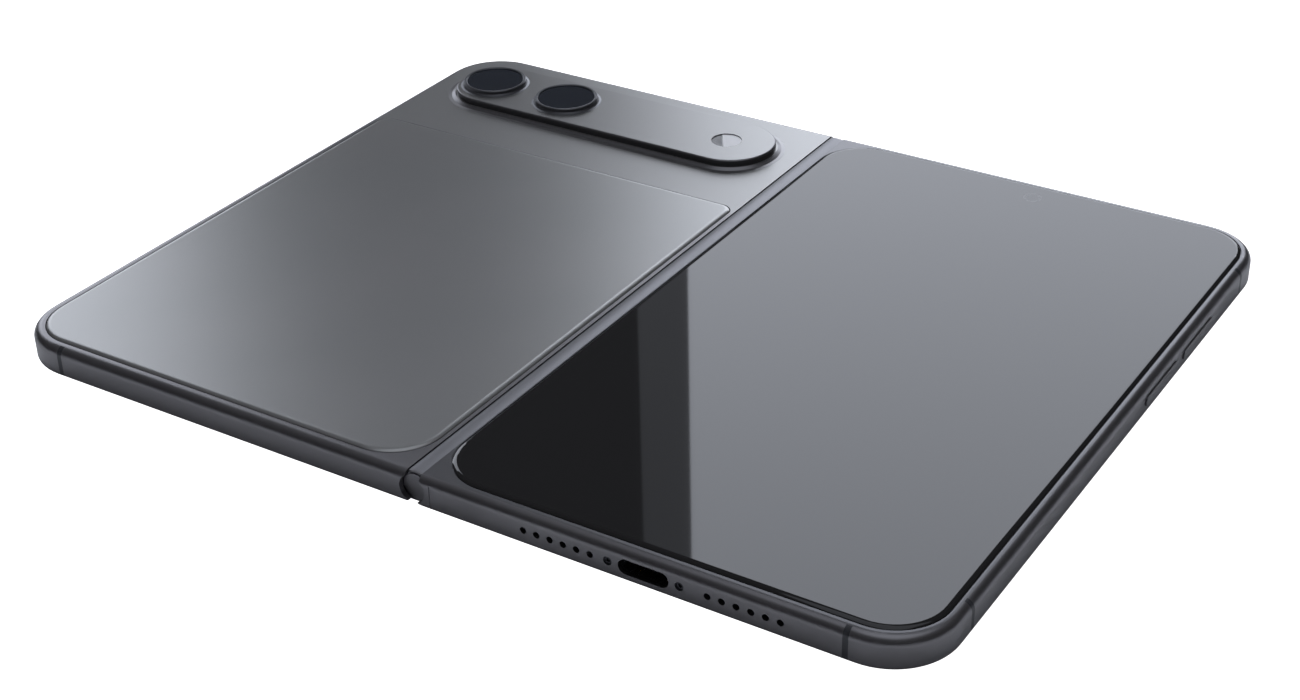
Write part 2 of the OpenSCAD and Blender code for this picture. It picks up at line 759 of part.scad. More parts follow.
// Section of a hinge bracket: what fills the spine's round back
module bracket_core(floor_z) {
    difference() {
        translate([0, spine_z]) circle(spine_r - spine_wall - 0.02);
        translate([-2 * spine_r, -past]) square([4 * spine_r, floor_z + past]);
    }
}

module bracket_lugs() {
    for (s = [-1, 1]) {
        translate([s * axis_x, axis_z]) circle(knuckle_r);
        translate([s > 0 ? axis_x - knuckle_r - 0.05 : -axis_x + 0.25, axis_z])
            square([knuckle_r - 0.2, spine_floor_z - axis_z]);
    }
}

module hinge_brackets() {
    color(steel) difference() {
        union() {
            for (y = groups) {
                along_y(y - group_l / 2, y + group_l / 2) bracket_core(spine_floor_z);
                for (s = [-1, 1])
                    along_y(y + s * (group_l - lug_w) / 2 - lug_w / 2, y + s * (group_l - lug_w) / 2 + lug_w / 2)
                        bracket_lugs();
            }
            for (s = [0, 1]) mirror([0, s, 0])
                along_y(gear_plate_y, gear_plate_y + gear_plate_t)
                    bracket_core(axis_z - gear_pitch_r);
        }
        for (s = [-1, 1]) {
            translate([s * axis_x, -half_h, axis_z]) rotate([-90, 0, 0])
                cylinder(r = pin_r + pin_gap, h = body_h);
            translate([s * gear_pitch_r, -half_h, axis_z]) rotate([-90, 0, 0])
                cylinder(r = idler_pin_r + pin_gap, h = body_h);
        }
    }
}

module display_fold() {
    color(black) box(-fold_x + fit_gap, fold_x - fit_gap, -display_half_h, display_half_h,
                     display_drop, display_z1);
}

// ---- the half with the outer screen ----

module glass_shape(g, z0, z1, top = 0, drop = 0) {
    slab(glass_hinge_x - g, half_w - glass_side - glass_gap + g, -half_h + glass_near + glass_gap - g,
         half_h - glass_side - glass_gap + g, corner_r - glass_side - glass_gap + g, z0, z1, top, 0, drop);
}

// Side button in outline, along +X, between two distances from the middle
module button_bar(y, grow, x0, x1) {
    translate([x0, y, port_z]) rotate([90, 0, 90]) linear_extrude(x1 - x0)
        stadium(button_l + 2 * grow, button_h + 2 * grow);
}

module cover_frame_solid() {
    parting_x = 3.25;
    half_frame() {
        glass_shape(glass_gap, glass_z0, body_t + past);
        cavity(inner_y0, inner_y1, outer_display_z0);
        glass_shape(-ledge_w, outer_display_z0 - fit_gap, glass_z0 + past);
        // USB-C opening, and the seat of its receptacle behind it
        translate([port_x, -half_h - past, port_z]) rotate([-90, 0, 0]) linear_extrude(wall_w + 2)
            stadium(usb_w, usb_h);
        translate([port_x, -half_h + 0.8, port_z]) rotate([-90, 0, 0]) linear_extrude(8)
            stadium(usb_w + 0.6 + 2 * fit_gap, usb_h + 0.6 + 2 * fit_gap);
        for (g = [-speaker_left, speaker_right], k = [0:speaker_holes - 1])
            translate([port_x + g + (k - (speaker_holes - 1) / 2) * speaker_pitch, -half_h - past, port_z])
                rotate([-90, 0, 0]) cylinder(r = speaker_hole_r, h = wall_w + 2 * past);
        for (s = [-1, 1]) translate([port_x + s * screw_x, -half_h - past, port_z]) rotate([-90, 0, 0]) {
            cylinder(r = 0.45, h = wall_w + 2 * past);
            cylinder(r = 0.72, h = past + 0.8);
        }
        for (y = [volume_y, power_y]) button_bar(y, 0.06, half_w - wall_w - past, half_w + past);
        for (s = [-1, 1])
            box(parting_x - parting_w / 2, parting_x + parting_w / 2, s * half_h - parting_w,
                s * half_h + parting_w, -past, body_t + past);
    }
}

module cover_frame() {
    color(metal) difference() {
        cover_frame_solid();
        band_boxes();
    }
}

module cover_antenna_bands() {
    color(dark_metal) intersection() {
        cover_frame_solid();
        band_boxes();
    }
}

module cover_glass() {
    color("#2a2b2e") glass_shape(0, glass_z0, body_t + glass_raise, curve_w, curve_drop);
}

module outer_display() {
    color(black) difference() {
        glass_shape(-ledge_w - fit_gap, outer_display_z0, glass_z0);
        translate([front_camera_x, half_h - front_camera_far, 0]) cylinder(r = 1.9, h = body_t);
    }
}

module front_camera() {
    color(black) translate([front_camera_x, half_h - front_camera_far, 0]) {
        plate(-3, 3, -3, 3, 0.8, web_z1, outer_display_z0 - 0.1);
        translate([0, 0, outer_display_z0 - 0.3]) cylinder(r = 1.6, h = outer_display_t + 0.3);
    }
}

module earpiece() {
    color(dark_metal) plate(front_camera_x + 7, front_camera_x + 19, inner_y1 - 4.5, inner_y1 - fit_gap,
                            1, web_z1, outer_display_z0 - 0.15);
}

module usb_receptacle() {
    depth = 7.2;
    color(steel) translate([port_x, -half_h + 0.8 + fit_gap, port_z]) difference() {
        rotate([-90, 0, 0]) linear_extrude(depth) stadium(usb_w + 0.6, usb_h + 0.6);
        translate([0, -past, 0]) rotate([-90, 0, 0]) linear_extrude(depth - 0.6 + past) stadium(usb_w, usb_h);
    }
}

module usb_tongue() {
    tongue_w = 6.69;
    tongue_t = 0.7;
    color(black) translate([port_x - tongue_w / 2, -half_h + 1.7, port_z - tongue_t / 2])
        cube([tongue_w, 7.2 - 0.6 + 0.8 + fit_gap - 1.7, tongue_t]);
}

module loudspeaker() {
    x = port_x + speaker_right;
    color(dark_metal) plate(x - 9, x + 9, inner_y0 + fit_gap, inner_y0 + speaker_depth, 1.5,
                            web_z1, outer_display_z0 - 0.15);
}

module microphone() {
    x = port_x - speaker_left;
    color(steel) plate(x - 4, x + 4, inner_y0 + fit_gap, inner_y0 + 3.2, 0.5,
                       web_z1, web_z1 + 1.6);
}

module vibration_motor() {
    x = port_x - speaker_left;
    color(steel) slab(x - 10, x + 10, inner_y0 + 4.5, inner_y0 + speaker_depth, 1, web_z1,
                      outer_display_z0 - 0.3, 0.3, 0);
}

module cover_battery() {
    color(black) slab(inner_x0, inner_x1 - cell_side_buttons, port_board_y1 + board_gap,
                      radio_board_y0 - board_gap, 2, web_z1, outer_display_z0 - 0.15, 0.5, 0.3);
}

module port_board() {
    color(board_green) plate(inner_x0, inner_x1 - cell_side, port_board_y0, port_board_y1,
                             1, web_z1, web_z1 + 0.8);
}

module radio_board() {
    color(board_green) plate(inner_x0, inner_x1 - cell_side_buttons, radio_board_y0,
                             half_h - front_camera_far - 4, 1, web_z1, web_z1 + 0.8);
}

module bottom_screws() {
    color(steel) for (s = [-1, 1]) translate([port_x + s * screw_x, -half_h + 0.25, port_z]) rotate([-90, 0, 0])
        difference() {
            union() {
                cylinder(r = 0.7, h = 0.55);
                cylinder(r = 0.4, h = wall_w + 0.8);
            }
            translate([0, 0, -past]) cylinder(r = 0.38, h = past + 0.25, $fn = 5);
        }
}

module dome_switches() {
    wall_x = half_w - wall_w - 0.55 - fit_gap - button_travel;
    color("#b8934a") for (y = [volume_y, power_y]) {
        box(wall_x - 1.2, wall_x - 0.25, y - 5.5, y + 5.5, web_z1, port_z + 1.1);
        translate([wall_x - 0.25 - fit_gap, y, port_z]) rotate([0, 90, 0])
            cylinder(r1 = 1, r2 = 0.5, h = 0.25);
    }
}

module cover_display() {
    flat_display();
}

module cover_plate() {
    display_plate();
}

module cover_bezel() {
    display_border();
}

module cover_wings() {
    wings();
}

module cover_gears() {
    gear_pair(axis_x, 180 / gear_teeth, pin_r);
}

module cover_pins() {
    pins();
}

module cover_wing_screws() {
    wing_screws_set();
}

// A push button: a bar through the side wall with a lip behind it
module push_button(y) {
    lip_x = half_w - wall_w - fit_gap;
    color(metal) {
        button_bar(y, 0, lip_x - 0.1, half_w + button_out);
        translate([lip_x - 0.5, y, port_z]) rotate([90, 0, 90]) linear_extrude(0.5)
            stadium(button_l + 1.2, button_h + 0.2);
    }
}

module volume_button() {
    push_button(volume_y);
}

module side_button() {
    push_button(power_y);
}

camera_frame();
camera_antenna_bands();
back_panel();
camera_bar();
lens_rings();
lens_glasses();
camera_modules();
flash_window();
flash_lamp();
camera_battery();
main_board();
board_shield();
charging_coil();
camera_display();
camera_plate();
camera_bezel();
camera_wings();
camera_gears();
camera_pins();
camera_wing_screws();
spine_cover();
spine_end_caps();
hinge_brackets();
display_fold();
camera_idlers();
cover_idlers();
cover_frame();
cover_antenna_bands();
cover_glass();
outer_display();
front_camera();
earpiece();
usb_receptacle();
usb_tongue();
loudspeaker();
microphone();
vibration_motor();
cover_battery();
port_board();
radio_board();
bottom_screws();
dome_switches();
cover_display();
cover_plate();
cover_bezel();
cover_wings();
cover_gears();
cover_pins();
cover_wing_screws();
volume_button();
side_button();
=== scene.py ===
import math
import bpy
import bmesh
from mathutils import Matrix, Vector


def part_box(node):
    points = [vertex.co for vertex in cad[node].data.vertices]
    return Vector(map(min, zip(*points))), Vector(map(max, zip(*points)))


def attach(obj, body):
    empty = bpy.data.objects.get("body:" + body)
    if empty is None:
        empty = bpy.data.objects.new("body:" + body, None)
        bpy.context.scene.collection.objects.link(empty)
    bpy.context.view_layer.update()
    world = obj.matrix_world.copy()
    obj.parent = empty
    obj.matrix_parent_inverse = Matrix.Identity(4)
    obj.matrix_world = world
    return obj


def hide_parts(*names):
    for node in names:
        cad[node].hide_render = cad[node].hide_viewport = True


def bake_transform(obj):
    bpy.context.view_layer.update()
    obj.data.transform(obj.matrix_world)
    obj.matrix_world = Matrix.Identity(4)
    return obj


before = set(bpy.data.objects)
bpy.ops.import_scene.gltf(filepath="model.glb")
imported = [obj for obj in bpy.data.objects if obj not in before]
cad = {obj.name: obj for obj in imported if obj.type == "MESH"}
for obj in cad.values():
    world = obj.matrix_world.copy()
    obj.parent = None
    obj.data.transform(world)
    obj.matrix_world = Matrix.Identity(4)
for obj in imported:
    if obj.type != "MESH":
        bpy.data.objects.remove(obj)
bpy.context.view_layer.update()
mm = 0.001
print("frame loaded,", len(cad), "nodes")


# sRGB hex to linear
def linear(hexColour):
    channels = [int(hexColour[k:k + 2], 16) / 255 for k in (1, 3, 5)]
    return [c / 12.92 if c <= 0.04045 else ((c + 0.055) / 1.055) ** 2.4 for c in channels] + [1]


# adds one node, with its values or links by socket and its settings by name
def addNode(tree, kind, inputs=None, **settings):
    node = tree.nodes.new(kind)
    for key, value in settings.items():
        setattr(node, key, value)
    for key, value in (inputs or {}).items():
        if isinstance(value, bpy.types.NodeSocket):
            tree.links.new(value, node.inputs[key])
        else:
            node.inputs[key].default_value = value
    return node


# values for the shader are named after its sockets, with _ for a space
def newMaterial(name, colour, **shaderValues):
    material = bpy.data.materials.new(name)
    material.use_nodes = True
    tree = material.node_tree
    shader = tree.nodes["Principled BSDF"]
    shader.inputs["Base Color"].default_value = linear(colour)
    for key, value in shaderValues.items():
        shader.inputs[key.replace("_", " ")].default_value = value
    return material, tree, shader


# place on the piece, in metres, for patterns
def position(tree, stretch=(1, 1, 1)):
    place = addNode(tree, "ShaderNodeTexCoord")
    return addNode(tree, "ShaderNodeMapping", {"Vector": place.outputs["Object"], "Scale": stretch}).outputs[0]


# grain of a real size in millimetres, as bump and as a slight change of roughness
def addGrain(tree, shader, grainMm, bumpMm, roughness, spread, stretch=(1, 1, 1)):
    noise = addNode(tree, "ShaderNodeTexNoise", {"Vector": position(tree, stretch), "Scale": 1 / (grainMm * mm),
                                                 "Detail": 3, "Roughness": 0.6})
    bump = addNode(tree, "ShaderNodeBump", {"Height": noise.outputs[0], "Strength": 1, "Distance": bumpMm * mm})
    tree.links.new(bump.outputs[0], shader.inputs["Normal"])
    spreadNode = addNode(tree, "ShaderNodeMapRange", {"Value": noise.outputs[0], "To Min": roughness - spread,
                                                      "To Max": roughness + spread})
    tree.links.new(spreadNode.outputs[0], shader.inputs["Roughness"])


# slow change of colour, as in a dyed or sprayed layer
def addClouding(tree, shader, colour, other, sizeMm):
    noise = addNode(tree, "ShaderNodeTexNoise", {"Vector": position(tree), "Scale": 1 / (sizeMm * mm),
                                                 "Detail": 2, "Roughness": 0.5})
    ramp = addNode(tree, "ShaderNodeValToRGB", {"Fac": noise.outputs[0]})
    ramp.color_ramp.elements[0].position = 0.3
    ramp.color_ramp.elements[1].position = 0.7
    ramp.color_ramp.elements[0].color = linear(colour)
    ramp.color_ramp.elements[1].color = linear(other)
    tree.links.new(ramp.outputs[0], shader.inputs["Base Color"])


# middle of one of the frame's pieces
def middleOf(name):
    low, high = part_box(name)
    return (low + high) / 2


# one material on whole pieces of the frame
def dress(material, *names):
    for name in names:
        piece = cad[name]
        if not piece.data.materials:
            piece.data.materials.append(material)
        for k in range(len(piece.material_slots)):
            piece.material_slots[k].material = material


# a piece of the scene's own; it rides on the body, if one is given
def newPiece(name, bm, material, body):
    mesh = bpy.data.meshes.new(name)
    bm.to_mesh(mesh)
    bm.free()
    mesh.materials.append(material)
    piece = bpy.data.objects.new(name, mesh)
    bpy.context.scene.collection.objects.link(piece)
    if body:
        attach(piece, body)
    return piece


blast = {"grainMm": 0.25, "bumpMm": 0.0015, "spread": 0.04, "cloudMm": 18}


# anodised aluminium, bead blasted: a satin metal with a very fine even grain, drawn at 0.25 mm to show
def anodisedAluminium(name, colour, other, roughness):
    material, tree, shader = newMaterial(name, colour, Metallic=1.0)
    addGrain(tree, shader, blast["grainMm"], blast["bumpMm"], roughness, blast["spread"])
    addClouding(tree, shader, colour, other, blast["cloudMm"])
    return material


flatTop = {"normal": (0.98, 0.998), "fadeMm": 3}


# flat tops that lie beyond startMm along the phone take another grey and a share of metal of their own
def addFlatTop(material, colour, metallic, startMm):
    tree = material.node_tree
    shader = tree.nodes["Principled BSDF"]
    where = addNode(tree, "ShaderNodeTexCoord")
    up = addNode(tree, "ShaderNodeSeparateXYZ", {"Vector": where.outputs["Normal"]})
    along = addNode(tree, "ShaderNodeSeparateXYZ", {"Vector": where.outputs["Object"]})
    sloped, level = flatTop["normal"]
    flat = addNode(tree, "ShaderNodeMapRange", {"Value": up.outputs["Z"], "From Min": sloped,
                                                "From Max": level})
    far = addNode(tree, "ShaderNodeMapRange", {"Value": along.outputs["Y"], "From Min": startMm * mm,
                                               "From Max": (startMm + flatTop["fadeMm"]) * mm})
    share = addNode(tree, "ShaderNodeMath", {0: flat.outputs[0], 1: far.outputs[0]}, operation="MULTIPLY")
    below = shader.inputs["Base Color"].links[0].from_socket
    mixed = addNode(tree, "ShaderNodeMix", {0: share.outputs[0], 6: below, 7: linear(colour)}, data_type="RGBA")
    tree.links.new(mixed.outputs[2], shader.inputs["Base Color"])
    metal = addNode(tree, "ShaderNodeMapRange", {"Value": share.outputs[0], "To Min": 1, "To Max": metallic})
    tree.links.new(metal.outputs[0], shader.inputs["Metallic"])


frameMetal = anodisedAluminium("beadBlastedAluminium", "#848385", "#7d7c7e", 0.34)
deckMetal = anodisedAluminium("finelyBlastedAluminium", "#848385", "#7d7c7e", 0.34)
coverMetal = anodisedAluminium("beadBlastedCoverAluminium", "#868587", "#7f7e80", 0.34)
barMetal = anodisedAluminium("beadBlastedBarAluminium", "#757476", "#6f6e70", 0.31)
spineMetal = anodisedAluminium("satinSpineAluminium", "#87878a", "#818184", 0.42)
addFlatTop(deckMetal, "#9f9f9e", 0.77, 27)
addFlatTop(barMetal, "#999998", 0.77, 27)
# on the cover frame every flat top is painted a darker grey: painted shade that dims the highlight along its
# rim
addFlatTop(coverMetal, "#6a6a6c", 1, -90)
buttonMetal = anodisedAluminium("beadBlastedButtonAluminium", "#7d7c7e", "#767577", 0.36)


# acid-etched glass, coated behind: a fine frost over a grey metallic layer, with a soft reflection
def etchedGlass():
    look = {"colour": "#a6a6a5", "other": "#a1a2a1", "cloudMm": 30, "metallic": 0.77,
            "roughness": 0.31, "spread": 0.03, "grainMm": 0.2, "bumpMm": 0.001}
    material, tree, shader = newMaterial("etchedGlass", look["colour"], IOR=1.5, Metallic=look["metallic"])
    addGrain(tree, shader, look["grainMm"], look["bumpMm"], look["roughness"], look["spread"])
    addClouding(tree, shader, look["colour"], look["other"], look["cloudMm"])
    return material


backGlass = etchedGlass()


# how the small camera behind the cover glass shows, as a darker disc in a faint ring
frontCamera = {"radiusMm": 1.6, "outerMm": 1.72, "ringMm": 0.6, "middle": "#08080a", "disc": "#101012",
               "ring": "#565557"}


# strengthened glass over a dark display: polished, near black, with the faintest waviness
def coverGlassFinish():
    look = {"colour": "#262626", "roughness": 0.025, "waveMm": 40, "bumpMm": 0.002, "reachMm": 4}
    material, tree, shader = newMaterial("polishedCoverGlass", look["colour"], IOR=1.5,
                                         Roughness=look["roughness"])
    noise = addNode(tree, "ShaderNodeTexNoise",
                    {"Vector": position(tree), "Scale": 1 / (look["waveMm"] * mm), "Detail": 1})
    bump = addNode(tree, "ShaderNodeBump", {"Height": noise.outputs[0], "Distance": look["bumpMm"] * mm})
    tree.links.new(bump.outputs[0], shader.inputs["Normal"])
    where = addNode(tree, "ShaderNodeTexCoord").outputs["Object"]
    seen = middleOf("front_camera")
    seen.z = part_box("cover_glass")[1].z
    away = addNode(tree, "ShaderNodeVectorMath", {0: where, 1: seen}, operation="DISTANCE")
    share = addNode(tree, "ShaderNodeMath", {0: away.outputs["Value"], 1: 1 / (look["reachMm"] * mm)},
                    operation="MULTIPLY")
    ramp = addNode(tree, "ShaderNodeValToRGB", {"Fac": share.outputs[0]})
    stops = ramp.color_ramp.elements
    stops[0].color = linear(frontCamera["middle"])
    stops[1].color = linear(look["colour"])
    stops[1].position = frontCamera["outerMm"] / look["reachMm"]
    disc = frontCamera["radiusMm"] - frontCamera["ringMm"]
    for radius, colour in ((disc, frontCamera["disc"]), (frontCamera["radiusMm"], frontCamera["ring"])):
        stops.new(radius / look["reachMm"]).color = linear(colour)
    tree.links.new(ramp.outputs[0], shader.inputs["Base Color"])
    return material


outerGlass = coverGlassFinish()


# folding screen: thin glass under a hard-coated film, black when it is off
def screenFilm():
    look = {"colour": "#08080a", "roughness": 0.09, "spread": 0.02, "grainMm": 3, "bumpMm": 0.0006}
    material, tree, shader = newMaterial("hardCoatedScreenFilm", look["colour"], IOR=1.5)
    addGrain(tree, shader, look["grainMm"], look["bumpMm"], look["roughness"], look["spread"])
    return material


innerScreen = screenFilm()


mould = {"grainMm": 0.3, "bumpMm": 0.002, "spread": 0.05}


# moulded polymer, smooth from the tool with a soft sheen
def mouldedPolymer(name, colour, roughness):
    material, tree, shader = newMaterial(name, colour, IOR=1.5)
    addGrain(tree, shader, mould["grainMm"], mould["bumpMm"], roughness, mould["spread"])
    return material


bandPolymer = mouldedPolymer("mouldedBandPolymer", "#3b3c40", 0.42)
borderRubber = mouldedPolymer("softBorderElastomer", "#131315", 0.6)
blackPolymer = mouldedPolymer("mouldedBlackPolymer", "#121214", 0.45)
lampPolymer = mouldedPolymer("mouldedLampPhosphor", "#d9c98a", 0.5)
switchBody = mouldedPolymer("goldPlatedDome", "#b8934a", 0.35)
switchBody.node_tree.nodes["Principled BSDF"].inputs["Metallic"].default_value = 1  # plated, with a soft grain


# the scale at which a wave texture repeats at this pitch: its own wave is pi / 10 long
def waveScale(pitchMm):
    return math.pi / 10 / (pitchMm * mm)


# turned aluminium ring, with the fine rings that the tool leaves, drawn 0.75 mm apart to show
def turnedRing():
    look = {"colour": "#68696c", "roughness": 0.38, "pitchMm": 0.754, "waver": 0.4, "depthMm": 0.0015}
    material, tree, shader = newMaterial("turnedRingAluminium", look["colour"], Metallic=1.0,
                                         Roughness=look["roughness"])
    wave = addNode(tree, "ShaderNodeTexWave", {"Vector": position(tree), "Scale": waveScale(look["pitchMm"]),
                                               "Distortion": look["waver"]},
                   wave_type="BANDS", bands_direction="Z")
    bump = addNode(tree, "ShaderNodeBump", {"Height": wave.outputs[0], "Distance": look["depthMm"] * mm})
    tree.links.new(bump.outputs[0], shader.inputs["Normal"])
    return material


ringMetal = turnedRing()


# coated lens glass: near black from outside, painted lighter and cooler where it turns away: a painted
# reflection of its coating
def coatedLens():
    look = {"facing": "#20262f", "turned": "#303945", "roughness": 0.03, "blend": 0.35, "coat": 0.3,
            "coatRoughness": 0.02}
    material, tree, shader = newMaterial("coatedLensGlass", look["facing"], IOR=1.55,
                                         Roughness=look["roughness"], Coat_Weight=look["coat"],
                                         Coat_Roughness=look["coatRoughness"])
    # painted reflection: the base colour turns lighter and cooler as the glass turns away
    facing = addNode(tree, "ShaderNodeLayerWeight", {"Blend": look["blend"]})
    ramp = addNode(tree, "ShaderNodeValToRGB", {"Fac": facing.outputs["Facing"]})
    ramp.color_ramp.elements[0].color = linear(look["facing"])
    ramp.color_ramp.elements[1].color = linear(look["turned"])
    tree.links.new(ramp.outputs[0], shader.inputs["Base Color"])
    return material


lensGlass = coatedLens()


# moulded flash lens: milky, with soft ring grooves drawn 1.9 mm apart and a lamp below it; its near
# left side is painted dark, a painted shadow
def flashLens():
    look = {"colour": "#fbfbfc", "dark": "#17181b", "roughness": 0.22, "pitchMm": 1.885, "depthMm": 0.006,
            "towards": (0.85, 0.53, 0), "shadowEdge": -0.75 * mm, "fade": 0.1 * mm}
    material, tree, shader = newMaterial("mouldedFlashLens", look["colour"], IOR=1.49,
                                         Roughness=look["roughness"])
    where = addNode(tree, "ShaderNodeTexCoord").outputs["Object"]
    moved = addNode(tree, "ShaderNodeVectorMath", {0: where, 1: middleOf("flash_window")},
                    operation="SUBTRACT")
    across = addNode(tree, "ShaderNodeVectorMath", {0: moved.outputs[0], 1: look["towards"]},
                     operation="DOT_PRODUCT")
    side = addNode(tree, "ShaderNodeMapRange", {"Value": across.outputs["Value"],
                                                "From Min": look["shadowEdge"] - look["fade"],
                                                "From Max": look["shadowEdge"] + look["fade"]})
    # painted shadow: this ramp darkens the lens on its near left side
    ramp = addNode(tree, "ShaderNodeValToRGB", {"Fac": side.outputs[0]})
    ramp.color_ramp.elements[0].color = linear(look["dark"])
    ramp.color_ramp.elements[1].color = linear(look["colour"])
    tree.links.new(ramp.outputs[0], shader.inputs["Base Color"])
    wave = addNode(tree, "ShaderNodeTexWave",
                   {"Vector": moved.outputs[0], "Scale": waveScale(look["pitchMm"])},
                   wave_type="RINGS", rings_direction="Z")
    bump = addNode(tree, "ShaderNodeBump", {"Height": wave.outputs[0], "Distance": look["depthMm"] * mm})
    tree.links.new(bump.outputs[0], shader.inputs["Normal"])
    return material


flashGlass = flashLens()


brush = {"grainMm": 0.15, "bumpMm": 0.002, "spread": 0.06, "stretch": (1, 0.05, 1)}


# rolled or machined metal, with fine lines along the fold
def brushedMetal(name, colour, roughness):
    material, tree, shader = newMaterial(name, colour, Metallic=1.0)
    addGrain(tree, shader, brush["grainMm"], brush["bumpMm"], roughness, brush["spread"], brush["stretch"])
    return material


plateSteel = brushedMetal("rolledPlateSteel", "#8f9298", 0.32)
hingeSteel = brushedMetal("machinedHingeSteel", "#8a8d93", 0.3)
shieldSteel = brushedMetal("stampedNickelSteel", "#a9abaf", 0.28)
screwSteel = brushedMetal("blackenedScrewSteel", "#4d4e52", 0.36)
contactGold = brushedMetal("platedContactGold", "#c9a04e", 0.25)


# circuit board: solder mask over copper tracks about 0.5 mm apart
def circuitBoard():
    look = {"colour": "#1c3a2d", "other": "#21463a", "track": "#2c5a47", "trackShare": 0.03, "roughness": 0.35,
            "blockMm": 2}
    material, tree, shader = newMaterial("solderMaskBoard", look["colour"], IOR=1.5,
                                         Roughness=look["roughness"])
    tracks = addNode(tree, "ShaderNodeTexBrick", {"Vector": position(tree), "Scale": 1 / (look["blockMm"] * mm),
                                                  "Color1": linear(look["colour"]),
                                                  "Color2": linear(look["other"]),
                                                  "Mortar": linear(look["track"]),
                                                  "Mortar Size": look["trackShare"]})
    tree.links.new(tracks.outputs[0], shader.inputs["Base Color"])
    return material


boardMask = circuitBoard()


# battery pouch: aluminium foil under a black film with small creases
def batteryPouch():
    look = {"colour": "#1a1a1c", "metallic": 0.2, "roughness": 0.4, "spread": 0.08, "grainMm": 4,
            "bumpMm": 0.05}
    material, tree, shader = newMaterial("filmedBatteryFoil", look["colour"], IOR=1.5,
                                         Metallic=look["metallic"])
    addGrain(tree, shader, look["grainMm"], look["bumpMm"], look["roughness"], look["spread"])
    return material


batteryFoil = batteryPouch()


# wound copper strand in flat turns, drawn 2.2 mm wide
def woundCopper():
    look = {"colour": "#b0653a", "roughness": 0.3, "turnMm": 2.199, "depthMm": 0.1}
    material, tree, shader = newMaterial("woundCopperWire", look["colour"], Metallic=1.0,
                                         Roughness=look["roughness"])
    where = addNode(tree, "ShaderNodeTexCoord").outputs["Object"]
    moved = addNode(tree, "ShaderNodeVectorMath", {0: where, 1: middleOf("charging_coil")},
                    operation="SUBTRACT")
    wave = addNode(tree, "ShaderNodeTexWave",
                   {"Vector": moved.outputs[0], "Scale": waveScale(look["turnMm"])},
                   wave_type="RINGS", rings_direction="Z")
    bump = addNode(tree, "ShaderNodeBump", {"Height": wave.outputs[0], "Distance": look["depthMm"] * mm})
    tree.links.new(bump.outputs[0], shader.inputs["Normal"])
    return material


coilCopper = woundCopper()
print("materials made")


# finishes of the frame's pieces
dress(frameMetal, "spine_end_caps")
dress(coverMetal, "cover_frame")
dress(deckMetal, "camera_frame")
dress(barMetal, "camera_bar")
dress(spineMetal, "spine_cover")
dress(buttonMetal, "volume_button", "side_button")
dress(backGlass, "back_panel")
dress(outerGlass, "cover_glass")
dress(bandPolymer, "camera_antenna_bands", "cover_antenna_bands")
dress(ringMetal, "lens_rings")
dress(lensGlass, "lens_glasses")
dress(flashGlass, "flash_window")
dress(lampPolymer, "flash_lamp")
dress(innerScreen, "camera_display", "cover_display", "outer_display")
dress(borderRubber, "camera_bezel", "cover_bezel")
dress(blackPolymer, "camera_modules", "front_camera", "earpiece", "loudspeaker", "usb_tongue")
dress(batteryFoil, "camera_battery", "cover_battery")
dress(boardMask, "main_board", "port_board", "radio_board")
dress(shieldSteel, "board_shield", "microphone", "vibration_motor", "usb_receptacle")
dress(coilCopper, "charging_coil")
dress(plateSteel, "camera_plate", "cover_plate")
dress(hingeSteel, "hinge_brackets", "camera_wings", "cover_wings", "camera_pins", "cover_pins",
      "camera_gears", "cover_gears", "camera_idlers", "cover_idlers")
dress(screwSteel, "camera_wing_screws", "cover_wing_screws", "bottom_screws")
dress(switchBody, "dome_switches")
sharpDegrees = 25
for piece in cad.values():
    piece.data.shade_smooth()
    smooth = piece.modifiers.new("edges", "EDGE_SPLIT")
    smooth.split_angle = math.radians(sharpDegrees)
print("finishes set")


# what lies over the fold, in millimetres: the inner screen, as large as the solid strip that it replaces, and
# the soft border beyond the screen's two ends; each is made of two sheets
stripLow, stripHigh = (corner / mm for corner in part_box("display_fold"))
fold = {"halfWidth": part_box("cover_display")[0].x / mm, "columns": 24, "gap": 0.05,
        "middle": (stripLow.z + stripHigh.z) / 2}
screenFold = {"ends": (stripLow.y, stripHigh.y), "heights": (stripLow.z, stripHigh.z), "rows": 28}
border = {"from": 0.1, "to": 1.3, "heights": (0, stripHigh.z), "rows": 2}
borderFolds = {"near": {**border, "ends": (stripLow.y - border["to"], stripLow.y - border["from"])},
               "far": {**border, "ends": (stripHigh.y + border["from"], stripHigh.y + border["to"])}}


# a thin sheet from the middle of the spine to one half, closed all round
def foldSheet(name, side, strip, material):
    bm = bmesh.new()
    outer = side * (fold["halfWidth"] - fold["gap"])
    lanes = [outer * k / fold["columns"] for k in range(fold["columns"] + 1)]
    near, far = strip["ends"]
    steps = [near + (far - near) * k / strip["rows"] for k in range(strip["rows"] + 1)]
    layers = [[[bm.verts.new((x * mm, y * mm, z * mm)) for y in steps] for x in lanes]
              for z in strip["heights"]]
    for layer in layers:
        for a, b in zip(layer, layer[1:]):
            for k in range(len(steps) - 1):
                bm.faces.new((a[k], b[k], b[k + 1], a[k + 1]))
    low, high = layers
    lastLane, lastStep = len(lanes) - 1, len(steps) - 1
    rim = [(x, 0) for x in range(lastLane)] + [(lastLane, y) for y in range(lastStep)]
    rim += [(x, lastStep) for x in range(lastLane, 0, -1)] + [(0, y) for y in range(lastStep, 0, -1)]
    for (i, j), (k, m) in zip(rim, rim[1:] + rim[:1]):
        bm.faces.new((low[i][j], low[k][m], high[k][m], high[i][j]))
    bmesh.ops.recalc_face_normals(bm, faces=bm.faces)
    sheet = newPiece(name, bm, material, None)
    if side < 0:
        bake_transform(sheet)
    else:
        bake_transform(sheet)
    return sheet


